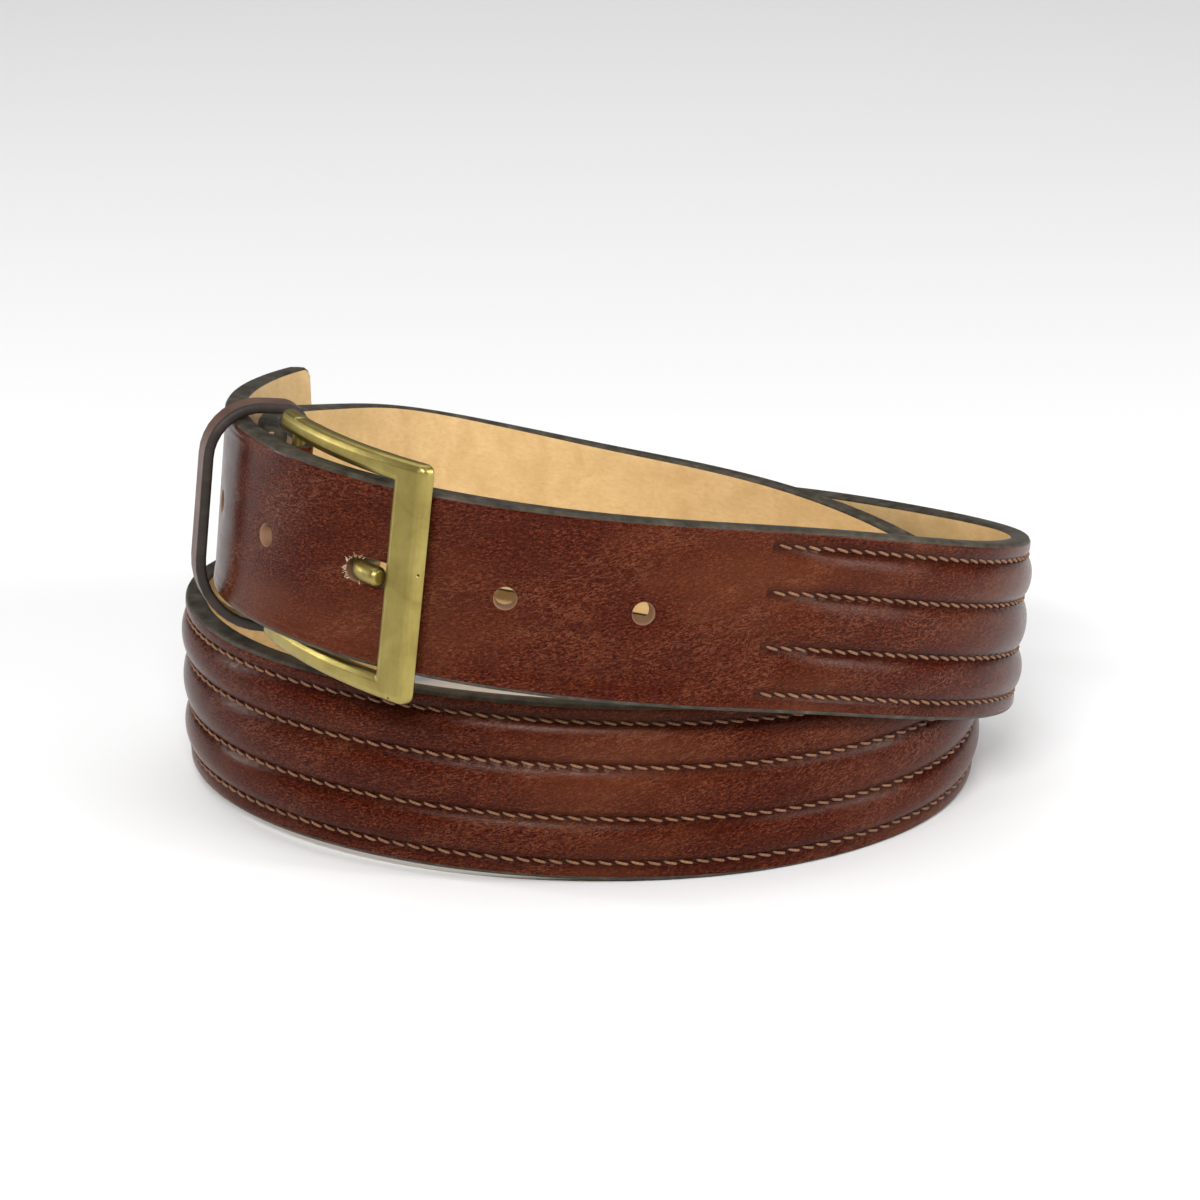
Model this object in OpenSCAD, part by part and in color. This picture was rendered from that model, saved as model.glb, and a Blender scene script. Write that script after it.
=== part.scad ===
// Leather belt with a padded, stitched front and a brushed brass buckle. It is buckled in its middle
// hole and coiled on a table in two turns, with the tip end run through a loose leather keeper.

/* [Strap] */
// Width of the strap
strap_w = 35; // [33:0.5:36]
// Thickness of the outer face leather
face_t = 1.2; // [1:0.1:1.3]
// Thickness of the reinforcement between face and lining
core_t = 1.2; // [1:0.1:1.3]
// Thickness of the tan lining leather
lining_t = 1.4; // [1.2:0.1:1.5]
// Length from the bar that carries the buckle to the square tip
strap_l = 990; // [972:1:992]
// Radius of the two corners at the tip
tip_r = 2.4; // [1:0.1:2.6]

/* [Padded ridges] */
// Height that each ridge stands above the stitched valleys
ridge_h = 1.2; // [0.6:0.1:1.3]
// Distance of the outer stitch rows from the strap's centre line
outer_row = 14; // [13.5:0.1:14.2]
// Distance of the inner stitch rows from the strap's centre line
inner_row = 5.2; // [4.8:0.1:5.6]
// Place of the ridges' ends behind the buckle, measured along the strap
ridge_from = 95; // [90:1:110]
// Place of the ridges' ends in front of the holes, measured along the strap
ridge_to = 800; // [790:1:802]

/* [Holes] */
// Diameter of the punched holes
hole_d = 4; // [3.6:0.1:4.4]
// Distance between neighbouring holes
hole_pitch = 26; // [25:0.1:26.5]
// Place of the middle hole, which the prong is in, measured along the strap
hole_mid = 878; // [877:0.5:879]

/* [Buckle] */
// Distance from the heel bar to the middle of the front bar
buckle_l = 35; // [34.6:0.1:35.4]
// Width of the front bar
bar_w = 7.2; // [6.5:0.1:7.4]
// Thickness of the front bar
bar_t = 3.2; // [3:0.1:3.4]
// Height of each arm at the front bar, above and below the strap
arm_w = 4.4; // [3.8:0.1:4.6]
// How much taller the buckle's opening is than the strap
arm_gap = 1.6; // [1.5:0.1:2]
// Diameter of the heel bar
pin_d = 2.6; // [2.4:0.1:2.8]
// Diameter of the prong
prong_d = 3.8; // [3.6:0.1:3.9]

/* [Keeper] */
// Width of the leather keeper loop
keeper_w = 6; // [5:0.5:7]
// Thickness of the keeper's leather
keeper_t = 2; // [1.4:0.1:2.2]

/* [Hidden] */
$fn = 48;

// The strap's centre line runs twice round this point, clockwise seen from above. Each guide is a
// radius, a height and an outward lean in degrees, and there is one every guide_step degrees.
coil_centre = [-1.15, 18.05];
guide_from = 90;
guide_step = 30;
guides = [[98, 64, -5], [97, 66, -5], [86, 68, -10], [56, 54, 0], [52, 46, 5], [47, 37, 5], [47, 30, 5],
    [52, 26, 5], [66, 21, 0], [80, 18, 0], [84, 17, 5], [78, 17, 0], [74, 18, -5], [80, 20, -5],
    [88, 20, 0], [90, 20, 0], [60, 20, 5], [53, 17, 5], [56, 18, 8], [63, 20, 5], [75, 21, 0],
    [90, 27, 5], [91, 39, 3], [83, 53, -10], [88, 60, -5], [102, 69, -5], [90, 68, -10], [70, 60, 5],
    [62, 55, 10], [46, 52, 10], [44, 50, 10]];
// Where the strap leaves the heel bar, counted in guides
first_t = 1.51;
last_t = len(guides) - 2;
table_n = 250;

strap_t = face_t + core_t + lining_t;
half_w = strap_w / 2;
edge_c = 0.5;
ring_gap = 12;
ridge_taper = 12;
thread_w = 0.7;
thread_h = 0.35;
// Where each ridge's crown, its pad's foot and its pad's crown start, measured from the stitch rows
crown_in = 2.2;
pad_foot = 1.2;
pad_crown = 2.9;
hole_n = 5;
// The prong has stretched the hole it is in: how far it reaches each way, and its width
prong_slot = [2.2, 3];
worn_d = 4.6;

// The turned end: thin leather folded round the heel bar
turn_t = 1.4;
pin_play = 0.06;
fold_r = pin_d / 2 + pin_play + turn_t;
turn_from = 9;
turn_to = 32;
fold_lap = 0.2;
turn_w = strap_w - 1;
slot_w = 6;
slot_back = 4.5;
stitch_n = 9;
stitch_at = [14, 26];
stitch_size = [2.2, 0.7, 0.4];

// Buckle frame: its arms and bar follow one round arc, and the arms are lower at the heel bar
arc_r = 84;
arc_h = sqrt(arc_r * arc_r - buckle_l * buckle_l / 4);
heel_arm_w = 4;
arm_end = 7;
corner_r = 1.6;
bar_gap = 4;
front_at = 867;
// How the buckle sits on the strap: raised within its play, and turned a little
heel_lift = 0.4;
bar_turn = 1;

// Prong: points of its bent middle line, from the heel bar to the notch in the front bar
eye_r = fold_r;
eye_w = 4.2;
prong_line = [[1, 0], [10, -1.2], [17, -2.4], [21.4, -2.7], [25.5, 2.1],
    [buckle_l - bar_w / 2 - 0.2, 2.4]];
notch_deep = 0.9;
notch_d = 6;
bend_swell = 0.1;

// Keeper, measured from the outer face of the strap's tip end
keeper_at = 925;
keeper_out = 3.5;
keeper_in = 12.6;
keeper_top = half_w + 1.5;
keeper_low = half_w + 4.2;
keeper_top_r = 9;
keeper_low_r = 12;
keeper_in_r = 3;
// Wire staple: its flat crown, and how deep its two legs are pressed into the leather
staple_size = [8, 1, 0.6];
staple_leg = 1.6;

function guide(k) = let (a = guide_from + guide_step * k, g = guides[k])
    [coil_centre[0] + g[0] * cos(a), coil_centre[1] - g[0] * sin(a), g[1], g[2]];
// Uniform cubic spline that the guides steer
function route(t) = let (k = min(floor(t), len(guides) - 3), f = t - k)
    (pow(1 - f, 3) * guide(k - 1) + (3 * pow(f, 3) - 6 * f * f + 4) * guide(k)
    + (1 + 3 * f + 3 * f * f - 3 * pow(f, 3)) * guide(k + 1) + pow(f, 3) * guide(k + 2)) / 6;
function place(t) = let (p = route(t)) [p[0], p[1], p[2]];
function unit(v) = v / norm(v);
function along(t) = unit(place(t + 0.01) - place(t - 0.01));
function across(t) = let (d = along(t), up = unit([0, 0, 1] - d * d[2]), a = route(t)[3])
    cos(a) * up + sin(a) * cross(up, d);
function outward(t) = cross(across(t), along(t));

// Distance along the strap, paired with the spline's parameter
table_dt = (last_t - first_t) / table_n;
distances = [for (i = 0, s = 0; i <= table_n;
    s = s + norm(place(first_t + (i + 1) * table_dt - 0.0001) - place(first_t + i * table_dt)), i = i + 1)
    [s, first_t + i * table_dt]];
function t_at(s) = lookup(s, distances);

// A point at distance s, w across the strap and h out of its face, kept on or above the table
function spot(s, w, h) = let (t = t_at(s), p = place(t) + w * across(t) + h * outward(t))
    [p[0], p[1], max(p[2], 0)];
function ring(s, outline) = let (t = t_at(s), c = place(t), u = across(t), n = outward(t))
    [for (q = outline) let (p = c + q[0] * u + q[1] * n) [p[0], p[1], max(p[2], 0)]];
function steps(a, b, gap) = let (n = ceil((b - a) / gap)) [for (i = [0 : n - 1]) a + (b - a) * i / n];

// Skin over rings that all follow one outline. Each side folds from its larger w to the next ring's
// smaller w, so that layers which share a surface meet without overlap.
module skin(rings, outline) {
    n = len(rings[0]);
    m = len(rings);
    sides = [for (i = [0 : m - 2], j = [0 : n - 1]) let (a = i * n + j, b = i * n + (j + 1) % n)
        each outline[(j + 1) % n][0] > outline[j][0] ? [[a, a + n, b], [b, a + n, b + n]]
            : [[a, b + n, b], [a, a + n, b + n]]];
    ends = [[for (j = [0 : n - 1]) j], [for (j = [n - 1 : -1 : 0]) (m - 1) * n + j]];
    polyhedron(points = [for (r = rings) each r], faces = concat(sides, ends), convexity = 8);
}

// Moves its children to distance s: X across the strap, Y along it and Z out of its face
module on_strap(s) {
    t = t_at(s);
    c = place(t);
    u = across(t);
    d = along(t);
    n = outward(t);
    multmatrix([[u[0], d[0], n[0], c[0]], [u[1], d[1], n[1], c[1]], [u[2], d[2], n[2], c[2]], [0, 0, 0, 1]])
        children();
}

// Heel bar's middle, and the directions from it to the front bar, along the bar and outwards
heel = spot(0, heel_lift, -fold_r);
ahead = unit(spot(front_at, 0, bar_t / 2 + bar_gap) - heel);
upright = let (u = unit(across(t_at(0)) + across(t_at(hole_mid)))) unit(u - ahead * (u * ahead));
front_dir = cos(bar_turn) * ahead + sin(bar_turn) * upright;
bar_dir = cos(bar_turn) * upright - sin(bar_turn) * ahead;
out_dir = cross(front_dir, bar_dir);

// Moves its children to the heel bar: X to the front bar, Y along the heel bar and Z outwards
module at_buckle() {
    x = front_dir;
    y = bar_dir;
    z = out_dir;
    multmatrix([[x[0], y[0], z[0], heel[0]], [x[1], y[1], z[1], heel[1]], [x[2], y[2], z[2], heel[2]],
        [0, 0, 0, 1]])
        children();
}

rows = [-outer_row, -inner_row, inner_row, outer_row];
ridge_stops = concat([ridge_from, ridge_from + 3], steps(ridge_from + ridge_taper, ridge_to - ridge_taper,
    ring_gap), [ridge_to - ridge_taper, ridge_to - 3, ridge_to]);
tip_angles = [0, 30, 60, 90];
strap_stops = concat(steps(turn_from, ridge_from, ring_gap), ridge_stops,
    steps(ridge_to + ring_gap, strap_l - tip_r, ring_gap),
    [for (a = tip_angles) strap_l - tip_r + tip_r * sin(a)]);
function half_at(s) = s <= strap_l - tip_r ? half_w
    : half_w - tip_r + sqrt(max(0, tip_r * tip_r - pow(s - strap_l + tip_r, 2)));
function rise(s) = max(0, min(1, (s - ridge_from) / ridge_taper, (ridge_to - s) / ridge_taper));

function face_outline(s) = let (w = half_at(s), h = ridge_h * rise(s)) concat(
    [[-w, -edge_c], [-w + edge_c, 0], [rows[0] - thread_w / 2, 0]],
    [for (i = [0 : 2]) each [[rows[i] + thread_w / 2, 0], [rows[i] + crown_in, h],
        [rows[i + 1] - crown_in, h], [rows[i + 1] - thread_w / 2, 0]]],
    [[rows[3] + thread_w / 2, 0], [w - edge_c, 0], [w, -edge_c], [w, -face_t]],
    [for (i = [2 : -1 : 0]) each [[rows[i + 1] - pad_foot, -face_t], [rows[i + 1] - pad_crown, h - face_t],
        [rows[i] + pad_crown, h - face_t], [rows[i] + pad_foot, -face_t]]],
    [[-w, -face_t]]);
function band_outline(w, top, bottom) = [[-w, bottom], [-w, top], [w, top], [w, bottom]];
function core_outline(w) = concat([[-w, -face_t]], [for (i = [0 : 2]) each [[rows[i] + pad_foot, -face_t],
    [rows[i] + pad_crown, -face_t], [rows[i + 1] - pad_crown, -face_t], [rows[i + 1] - pad_foot, -face_t]]],
    [[w, -face_t], [w, -face_t - core_t], [-w, -face_t - core_t]]);
function pad_outline(i, h) = [[rows[i] + pad_foot, -face_t], [rows[i] + pad_crown, h],
    [rows[i + 1] - pad_crown, h], [rows[i + 1] - pad_foot, -face_t], [rows[i + 1] - pad_crown, -face_t],
    [rows[i] + pad_crown, -face_t]];
function thread_outline(i) = let (w = thread_w / 2)
    [[rows[i] - w, 0], [rows[i] - w, thread_h], [rows[i] + w, thread_h], [rows[i] + w, 0]];
function lining_outline(w) = [[-w + edge_c, -strap_t], [-w, edge_c - strap_t], [-w, -face_t - core_t],
    [w, -face_t - core_t], [w, edge_c - strap_t], [w - edge_c, -strap_t]];

module hole_cutters() {
    for (i = [0 : hole_n - 1])
        on_strap(hole_mid + (i - (hole_n - 1) / 2) * hole_pitch)
            translate([0, 0, -strap_t - 2])
                cylinder(d = hole_d, h = strap_t + 4);
    for (y = [prong_slot[0], -prong_slot[1]])
        on_strap(hole_mid)
            translate([0, y, -strap_t - 2])
                cylinder(d = worn_d, h = strap_t + 4);
    on_strap(hole_mid)
        translate([-worn_d / 2, -prong_slot[1], -strap_t - 2])
            cube([worn_d, prong_slot[0] + prong_slot[1], strap_t + 4]);
}

module strap_face() {
    color("#5a2a1c")
        difference() {
            skin([for (s = strap_stops) ring(s, face_outline(s))], face_outline(hole_mid));
            hole_cutters();
        }
}

module strap_core() {
    color("#8a6a4c")
        difference() {
            skin([for (s = strap_stops) ring(s, core_outline(half_at(s)))], core_outline(half_w));
            hole_cutters();
        }
}

module strap_lining() {
    color("#d9b48a")
        difference() {
            skin([for (s = strap_stops) ring(s, lining_outline(half_at(s)))], lining_outline(half_w));
            hole_cutters();
        }
}

module ridge_pad(i) {
    stops = [for (s = ridge_stops) if (rise(s) > 0) s];
    color("#c8b090")
        skin([for (s = stops) ring(s, pad_outline(i, ridge_h * rise(s) - face_t))], pad_outline(i, 0));
}

module seam_thread(i) {
    color("#a9764a")
        skin([for (s = ridge_stops) ring(s, thread_outline(i))], thread_outline(i));
}

// Outline across the turned end's leather, between two distances from the strap's face
function turn_outline(top) = band_outline(turn_w / 2, top, top - turn_t);
// The same outline just inside the round fold, on the side of the heel bar that z gives
function fold_ring(z) = let (inner = fold_r - turn_t + fold_lap, outer = fold_r - fold_lap)
    [for (q = band_outline(turn_w / 2, max(z * inner, z * outer), min(z * inner, z * outer)))
        heel + fold_lap * front_dir + q[0] * bar_dir + q[1] * out_dir];

module turned_end() {
    outer_stops = [turn_from / 2, turn_from];
    inner_stops = concat([turn_from / 2], [for (s = strap_stops) if (s <= turn_to) s]);
    color("#6b3a26")
        difference() {
            union() {
                at_buckle()
                    rotate([90, 0, 0])
                        difference() {
                            cylinder(r = fold_r, h = turn_w + fold_lap, center = true);
                            cylinder(r = fold_r - turn_t, h = turn_w + 2, center = true);
                            translate([-2 * fold_r, -fold_r - 1, -turn_w])
                                cube([2 * fold_r, 2 * fold_r + 2, 2 * turn_w]);
                        }
                skin(concat([fold_ring(1)], [for (s = outer_stops) ring(s, turn_outline(0))]),
                    turn_outline(0));
                skin(concat([fold_ring(-1)], [for (s = inner_stops) ring(s, turn_outline(-strap_t))]),
                    turn_outline(0));
            }
            at_buckle()
                translate([-slot_back, -slot_w / 2, -2 * fold_r])
                    cube([slot_back + 2 * fold_r, slot_w, 4 * fold_r]);
        }
}

module turned_end_stitches() {
    color("#a9764a")
        for (s = stitch_at, i = [0 : stitch_n - 1])
            on_strap(s)
                translate([(i - (stitch_n - 1) / 2) * outer_row * 2 / stitch_n, 0,
                    -strap_t - turn_t - stitch_size[2] / 2])
                    cube(stitch_size, center = true);
}

// Corner of the buckle's outline, rounded about a centre
function corner(c, from) = [for (a = [0 : 22.5 : 90]) c + corner_r * [cos(from - a), sin(from - a)]];
function buckle_outline() = let (x0 = -arm_end, x1 = buckle_l + bar_w / 2, inside = (strap_w + arm_gap) / 2,
    y0 = inside + heel_arm_w, y1 = inside + arm_w, xi = buckle_l - bar_w / 2)
    concat([[x0, inside], [x0, y0 - corner_r]], corner([x0 + corner_r, y0 - corner_r], 180),
        corner([x1 - corner_r, y1 - corner_r], 90), corner([x1 - corner_r, corner_r - y1], 0),
        corner([x0 + corner_r, corner_r - y0], -90), [[x0, -inside], [xi, -inside], [xi, inside]]);

module buckle_frame() {
    color("#a08a4a")
        at_buckle()
            difference() {
                intersection() {
                    translate([buckle_l / 2, 0, -arc_h])
                        rotate([90, 0, 0])
                            difference() {
                                cylinder(r = arc_r + bar_t / 2, h = 2 * strap_w, center = true, $fn = 360);
                                cylinder(r = arc_r - bar_t / 2, h = 3 * strap_w, center = true, $fn = 360);
                            }
                    translate([0, 0, -strap_w / 2])
                        linear_extrude(strap_w)
                            polygon(buckle_outline());
                }
                rotate([90, 0, 0])
                    cylinder(d = pin_d, h = 2 * strap_w, center = true);
                translate([buckle_l - bar_w / 2 + notch_deep - notch_d / 2, 0, 0])
                    cylinder(d = notch_d, h = 4 * bar_t, center = true);
            }
}

module heel_bar() {
    color("#8f7a40")
        at_buckle()
            rotate([90, 0, 0])
                cylinder(d = pin_d, h = strap_w + arm_gap + 2 * heel_arm_w, center = true);
}

// Round rod between two points of the buckle's X-Z plane, with a rounded joint at its start
module rod(a, b) {
    d = b - a;
    translate([a[0], 0, a[1]])
        rotate([0, 90 - atan2(d[1], d[0]), 0]) {
            cylinder(d = prong_d, h = norm(d));
            sphere(d = prong_d + bend_swell);
        }
}

module prong() {
    color("#a08a4a")
        at_buckle()
            difference() {
                union() {
                    rotate([90, 0, 0])
                        cylinder(r = eye_r, h = eye_w, center = true);
                    for (i = [0 : len(prong_line) - 2])
                        rod(prong_line[i], prong_line[i + 1]);
                }
                rotate([90, 0, 0])
                    cylinder(r = pin_d / 2 + pin_play, h = 2 * eye_w, center = true);
            }
}

// Cross-section of the keeper's opening, grown by g: X across the strap and Y out of its face
module keeper_section(g) {
    rt = keeper_top_r + g;
    rl = keeper_low_r + g;
    ri = keeper_in_r + g;
    translate([keeper_top + g - rt, keeper_out + g - rt])
        circle(rt);
    translate([-keeper_low - g + rl, keeper_out + g - rl])
        intersection() {
            circle(rl);
            translate([-rl, 0])
                square(rl);
        }
    translate([keeper_top + g - ri, -keeper_in - g + ri])
        circle(ri);
    translate([-keeper_low - g + ri, -keeper_in - g + ri])
        circle(ri);
    translate([-keeper_low - g + rl, -keeper_in - g + ri])
        square([keeper_top + keeper_low + 2 * g - rt - rl, keeper_out + keeper_in + 2 * g - ri]);
    translate([-keeper_low - g, -keeper_in - g + ri])
        square([keeper_top + keeper_low + g - rt, keeper_out + keeper_in + 2 * g - rl - ri]);
    translate([-keeper_low - g + rl, -keeper_in - g + ri])
        square([keeper_top + keeper_low + 2 * g - rl, keeper_out + keeper_in + 2 * g - rt - ri]);
    translate([-keeper_low - g + ri, -keeper_in - g])
        square([keeper_top + keeper_low + 2 * g - 2 * ri, keeper_out + keeper_in + g]);
}

module keeper_loop() {
    color("#7a4a38")
        on_strap(keeper_at)
            rotate([90, 0, 0])
                difference() {
                    linear_extrude(keeper_w, center = true)
                        keeper_section(keeper_t);
                    linear_extrude(keeper_w + 2, center = true)
                        keeper_section(0);
                }
}

module keeper_staple() {
    wire = staple_size[2];
    color("#b0a070")
        on_strap(keeper_at)
            translate([0, 0, -keeper_in - keeper_t]) {
                translate([0, 0, -wire / 2])
                    cube(staple_size, center = true);
                for (x = [wire - staple_size[0], staple_size[0] - wire])
                    translate([x / 2, 0, (staple_leg - wire / 2) / 2])
                        cube([wire, staple_size[1], staple_leg + wire / 2], center = true);
            }
}

strap_face();
strap_core();
strap_lining();
ridge_pad(2);  // ridge_pad_upper
ridge_pad(1);  // ridge_pad_middle
ridge_pad(0);  // ridge_pad_lower
seam_thread(3);  // seam_thread_1
seam_thread(2);  // seam_thread_2
seam_thread(1);  // seam_thread_3
seam_thread(0);  // seam_thread_4
turned_end();
turned_end_stitches();
buckle_frame();
heel_bar();
prong();
keeper_loop();
keeper_staple();
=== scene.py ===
# Looks of the coiled leather belt: stitched padded strap, turned end, brass buckle, prong and keeper.
# Lengths in the belt's own functions are millimetres, as in part.scad. Meshes are made in metres.
import math
import bmesh
import bpy
import numpy as np
from mathutils import Matrix, Vector


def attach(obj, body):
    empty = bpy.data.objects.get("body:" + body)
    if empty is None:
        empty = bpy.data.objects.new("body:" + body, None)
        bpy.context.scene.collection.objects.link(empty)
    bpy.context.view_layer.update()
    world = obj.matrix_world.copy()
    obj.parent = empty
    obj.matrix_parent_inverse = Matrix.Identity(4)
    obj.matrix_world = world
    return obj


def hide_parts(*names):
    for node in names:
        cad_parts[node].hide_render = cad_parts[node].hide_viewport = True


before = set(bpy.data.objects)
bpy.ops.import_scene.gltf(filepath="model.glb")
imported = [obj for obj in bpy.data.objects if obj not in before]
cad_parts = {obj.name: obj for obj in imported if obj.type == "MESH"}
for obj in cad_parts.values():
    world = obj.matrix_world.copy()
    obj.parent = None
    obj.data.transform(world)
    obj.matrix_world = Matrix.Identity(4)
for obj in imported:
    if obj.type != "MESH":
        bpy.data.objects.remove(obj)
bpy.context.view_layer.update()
MM = 0.001

# ---------------------------------------------------------------- Sizes, as in part.scad
# Strap: layers from the face inwards, ridges between stitch rows, punched holes
STRAP_W, STRAP_L, TIP_R = 35.0, 990.0, 2.4
FACE_T, CORE_T, LINING_T = 1.2, 1.2, 1.4
STRAP_T = FACE_T + CORE_T + LINING_T
HALF_W = STRAP_W / 2
RIDGE_H, RIDGE_FROM, RIDGE_TO, RIDGE_TAPER = 1.2, 95.0, 800.0, 12.0
OUTER_ROW, INNER_ROW = 14.0, 5.2
ROWS = [-OUTER_ROW, -INNER_ROW, INNER_ROW, OUTER_ROW]
HOLE_D, HOLE_PITCH, HOLE_MID, HOLE_N = 4.0, 26.0, 878.0, 5
HOLES = [HOLE_MID + (i - (HOLE_N - 1) / 2) * HOLE_PITCH for i in range(HOLE_N)]

# Buckle, in its own axes: x from the heel bar to the front bar, y up the heel bar, z outwards
BUCKLE_L, BAR_W, BAR_T, ARM_W, HEEL_ARM_W, ARM_GAP, ARM_END = 35.0, 7.2, 3.2, 4.4, 4.0, 1.6, 7.0
BAR_GAP, FRONT_AT, HEEL_LIFT, BAR_TURN = 4.0, 867.0, 0.4, math.radians(1)
FRONT_INNER = BUCKLE_L - BAR_W / 2
NOTCH_DEEP, NOTCH_D = 0.9, 6.0
ARC_R = 84.0
ARC_H = math.sqrt(ARC_R ** 2 - BUCKLE_L ** 2 / 4)
PIN_D, PIN_PLAY = 2.6, 0.06
PRONG_D, EYE_W = 3.8, 4.2
PRONG_LINE = [(1, 0), (10, -1.2), (17, -2.4), (21.4, -2.7), (25.5, 2.1), (FRONT_INNER - 0.2, 2.4)]

# Thin leather turned round the heel bar, with a slot for the prong. TURN_TO is where its last CAD section is
TURN_T, TURN_FROM, TURN_TO, SLOT_W, SLOT_BACK = 1.4, 9.0, 30.5, 6.0, 4.5
FOLD_R = PIN_D / 2 + PIN_PLAY + TURN_T

# Keeper: distances of its inside from the middle of the strap's face, and its inside corner radii
KEEPER_AT, KEEPER_W, KEEPER_T = 925.0, 6.0, 2.0
KEEPER_OUT, KEEPER_IN, KEEPER_TOP, KEEPER_LOW = 3.5, 12.6, HALF_W + 1.5, HALF_W + 4.2
KEEPER_TOP_R, KEEPER_LOW_R, KEEPER_IN_R = 9.0, 12.0, 3.0

# Guides of the strap's path: distance from the coil's centre, height, lean in degrees
COIL_CENTRE = (-1.15, 18.05)
GUIDE_FROM, GUIDE_STEP, FIRST_T = 90.0, 30.0, 1.51
GUIDES = [(98, 64, -5), (97, 66, -5), (86, 68, -10), (56, 54, 0), (52, 46, 5), (47, 37, 5), (47, 30, 5),
          (52, 26, 5), (66, 21, 0), (80, 18, 0), (84, 17, 5), (78, 17, 0), (74, 18, -5), (80, 20, -5),
          (88, 20, 0), (90, 20, 0), (60, 20, 5), (53, 17, 5), (56, 18, 8), (63, 20, 5), (75, 21, 0),
          (90, 27, 5), (91, 39, 3), (83, 53, -10), (88, 60, -5), (102, 69, -5), (90, 68, -10), (70, 60, 5),
          (62, 55, 10), (46, 52, 10), (44, 50, 10)]

# ---------------------------------------------------------------- Finer sizes of the visual model
STITCH_PITCH = 3.08
STITCH_HALF, STITCH_SLANT, THREAD_R = STITCH_PITCH * 0.44, 0.30, 0.29
END_STITCH_ROWS, END_STITCH_N, END_STITCH_HALF, END_THREAD_R = (14.0, 26.0), 9, 1.15, 0.36
PRONG_SLOT, WORN_D = (2.2, 3.0), 4.6    # the worn hole reaches past its middle towards the tip and the heel
VALLEY_DEEP, VALLEY_PINCH, VALLEY_W = 0.16, 0.18, 0.55
CREASE_AT, CREASE_DEEP, CREASE_W, EDGE_SWELL, DENT_DEEP = 15.4, 0.12, 0.28, 0.22, 0.22
EDGE_ROUND, LINING_ROUND, KEEPER_ROUND = 0.75, 0.6, 0.55
ROUND = np.radians([22.5, 45, 67.5, 90])    # steps round an edge after its start


# ---------------------------------------------------------------- The strap's path
def guide_points():
    g = np.array(GUIDES, float)
    a = np.radians(GUIDE_FROM + GUIDE_STEP * np.arange(len(g)))
    x = COIL_CENTRE[0] + g[:, 0] * np.cos(a)
    y = COIL_CENTRE[1] - g[:, 0] * np.sin(a)
    return np.stack([x, y, g[:, 1], g[:, 2]], 1)


GUIDE_XYZ = guide_points()


def route(t):
    """Place and lean on the smooth curve that the guides pull, t guides from the first."""
    t = np.asarray(t, float)
    k = np.minimum(np.floor(t).astype(int), len(GUIDES) - 3)
    f = (t - k)[..., None]
    return ((1 - f) ** 3 * GUIDE_XYZ[k - 1] + (3 * f ** 3 - 6 * f * f + 4) * GUIDE_XYZ[k]
            + (1 + 3 * f + 3 * f * f - 3 * f ** 3) * GUIDE_XYZ[k + 1] + f ** 3 * GUIDE_XYZ[k + 2]) / 6


def unit(v):
    return v / np.linalg.norm(v, axis=-1, keepdims=True)


def running_length(points):
    return np.r_[0, np.cumsum(np.linalg.norm(np.diff(points, axis=0), axis=1))]


def distance_table():
    t = np.linspace(FIRST_T, len(GUIDES) - 2 - 1e-6, 6000)
    return running_length(route(t)[:, :3]), t


TABLE_S, TABLE_T = distance_table()


def frames(s):
    """Middle point, across, along and outward directions at distances s along the strap."""
    t = np.interp(s, TABLE_S, TABLE_T)
    p = route(t)
    d = unit(route(t + 0.01)[..., :3] - route(t - 0.01)[..., :3])
    z = np.array([0.0, 0.0, 1.0])
    up = unit(z - d * d[..., 2:3])
    lean = np.radians(p[..., 3:4])
    u = np.cos(lean) * up + np.sin(lean) * np.cross(up, d)
    return p[..., :3], u, d, np.cross(u, d)


def on_strap(s, w, h):
    """Points at distance s, w across the strap and h out of its face, on or above the table."""
    c, u, d, n = frames(s)
    p = c + np.asarray(w)[..., None] * u + np.asarray(h)[..., None] * n
    p[..., 2] = np.maximum(p[..., 2], 0)
    return p


def axes_matrix(x, y, z, middle):
    """Matrix in metres of axes whose middle is in millimetres."""
    return Matrix([[x[i], y[i], z[i], middle[i] * MM] for i in range(3)] + [[0, 0, 0, 1]])


def axes_at(s):
    """Axes of the strap at s: X across the strap, Y along it and Z out of its face."""
    c, u, d, n = (v[0] for v in frames(np.array([s])))
    return axes_matrix(u, d, n, c)


def from_axes(m, points):
    """Points given in millimetres in the axes of the matrix m, as points of the scene in millimetres."""
    m = np.array(m)
    return np.asarray(points, float) @ m[:3, :3].T + m[:3, 3] / MM


def buckle_axes():
    """The heel bar's middle and the directions to the front bar, up the heel bar and outwards."""
    heel = on_strap(np.array([0.0]), [HEEL_LIFT], [-FOLD_R])[0]
    front = on_strap(np.array([FRONT_AT]), [0.0], [BAR_T / 2 + BAR_GAP])[0]
    ahead = unit(front - heel)
    u = unit(frames(np.array([0.0]))[1][0] + frames(np.array([HOLE_MID]))[1][0])
    upright = unit(u - ahead * (u @ ahead))
    x = math.cos(BAR_TURN) * ahead + math.sin(BAR_TURN) * upright
    y = math.cos(BAR_TURN) * upright - math.sin(BAR_TURN) * ahead
    return heel, x, y, np.cross(x, y)


HEEL, BX, BY, BZ = buckle_axes()
BUCKLE = axes_matrix(BX, BY, BZ, HEEL)


def to_buckle(points):
    """Points of the buckle's own axes as points of the scene, both in millimetres."""
    p = np.asarray(points, float)
    return HEEL + p[..., 0:1] * BX + p[..., 1:2] * BY + p[..., 2:3] * BZ


# ---------------------------------------------------------------- Shader helpers
def new_material(name):
    m = bpy.data.materials.new(name)
    m.use_nodes = True
    t = m.node_tree
    t.nodes.clear()
    out = t.nodes.new("ShaderNodeOutputMaterial")
    b = t.nodes.new("ShaderNodeBsdfPrincipled")
    t.links.new(b.outputs["BSDF"], out.inputs["Surface"])
    return m, t, b


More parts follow.
